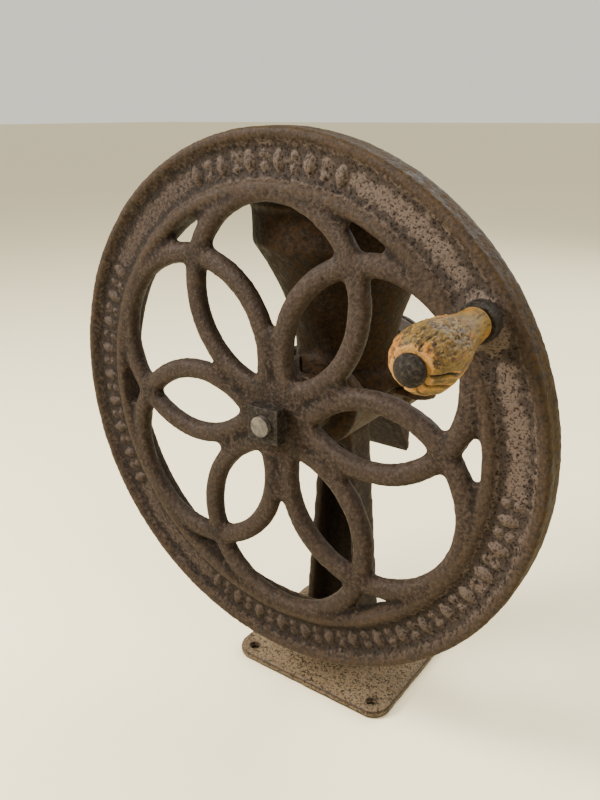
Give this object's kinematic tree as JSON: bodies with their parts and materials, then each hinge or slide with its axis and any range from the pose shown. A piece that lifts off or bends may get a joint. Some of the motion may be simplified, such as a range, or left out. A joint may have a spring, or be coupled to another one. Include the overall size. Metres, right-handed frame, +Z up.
{
  "type": "hand crank mill",
  "caption": "Pedestal hand mill: a spoked cast-iron flywheel with a wooden grip turns a feed screw and burr under a round hopper.",
  "frame": {"origin": "centre of the foot plate's underside", "axes": "+Z up; the shaft lies along Y with the flywheel on the -Y side; +X is to the right seen from the flywheel"},
  "size_m": [0.318, 0.2576, 0.371],
  "materials": {
    "cast_iron_wheel": "rusted and worn",
    "cast_iron_frame": "rusted",
    "cast_iron_hopper": "dark and rusted",
    "dark_steel": "dark rusted steel",
    "grey_steel": "dull dark grey",
    "shaft_steel": "turned, dull",
    "burr_iron": "hard grey iron",
    "bronze": "aged bronze",
    "grip_wood": "dry, cracked and weathered"
  },
  "bodies": {
    "frame": {"frame_casting": "cast_iron_frame", "hopper": "cast_iron_hopper", "hopper_bolts": "dark_steel", "front_bush": "bronze", "fixed_burr": "burr_iron", "fixed_burr_screws": "dark_steel", "head_cover": "cast_iron_frame", "rear_bush": "bronze", "thrust_button": "burr_iron"},
    "rotor": {"main_shaft": "shaft_steel", "thrust_washer": "shaft_steel", "feed_screw": "burr_iron", "feed_screw_pin": "shaft_steel", "rotating_burr": "burr_iron", "burr_drive_pin": "shaft_steel", "flywheel": "cast_iron_wheel", "flywheel_key": "shaft_steel", "flywheel_washer": "dark_steel", "flywheel_nut": "dark_steel", "crank_spindle": "grey_steel", "grip_collar": "grey_steel", "spindle_nut": "dark_steel"},
    "grip": {"wooden_grip": "grip_wood"},
    "regulator": {"adjusting_screw": "dark_steel"},
    "regulator_lock": {"lock_nut": "dark_steel"},
    "left_clamp": {"thumb_screw_left": "dark_steel"},
    "right_clamp": {"thumb_screw_right": "dark_steel"}
  },
  "joints": [
    {"name": "flywheel_spin", "type": "hinge", "parent": "frame", "child": "rotor", "pos_m": [0, 0, 0.212], "axis": [0, 1, 0], "continuous": true},
    {"name": "grip_spin", "type": "hinge", "parent": "rotor", "child": "grip", "pos_m": [0.12118, -0.091, 0.2898], "axis": [0, 0.9969, 0.0785], "continuous": true},
    {"name": "adjusting_screw_turn", "type": "hinge", "parent": "frame", "child": "regulator", "pos_m": [0, 0.08, 0.212], "axis": [0, 1, 0], "range_deg": [-360, 360]},
    {"name": "lock_nut_turn", "type": "hinge", "parent": "frame", "child": "regulator_lock", "pos_m": [0, 0.079, 0.212], "axis": [0, 1, 0], "range_deg": [-180, 180]},
    {"name": "left_thumb_turn", "type": "hinge", "parent": "frame", "child": "left_clamp", "pos_m": [-0.041, 0.06, 0.22], "axis": [0, 1, 0], "range_deg": [-360, 0]},
    {"name": "right_thumb_turn", "type": "hinge", "parent": "frame", "child": "right_clamp", "pos_m": [0.041, 0.06, 0.22], "axis": [0, 1, 0], "range_deg": [-360, 0]}
  ]
}
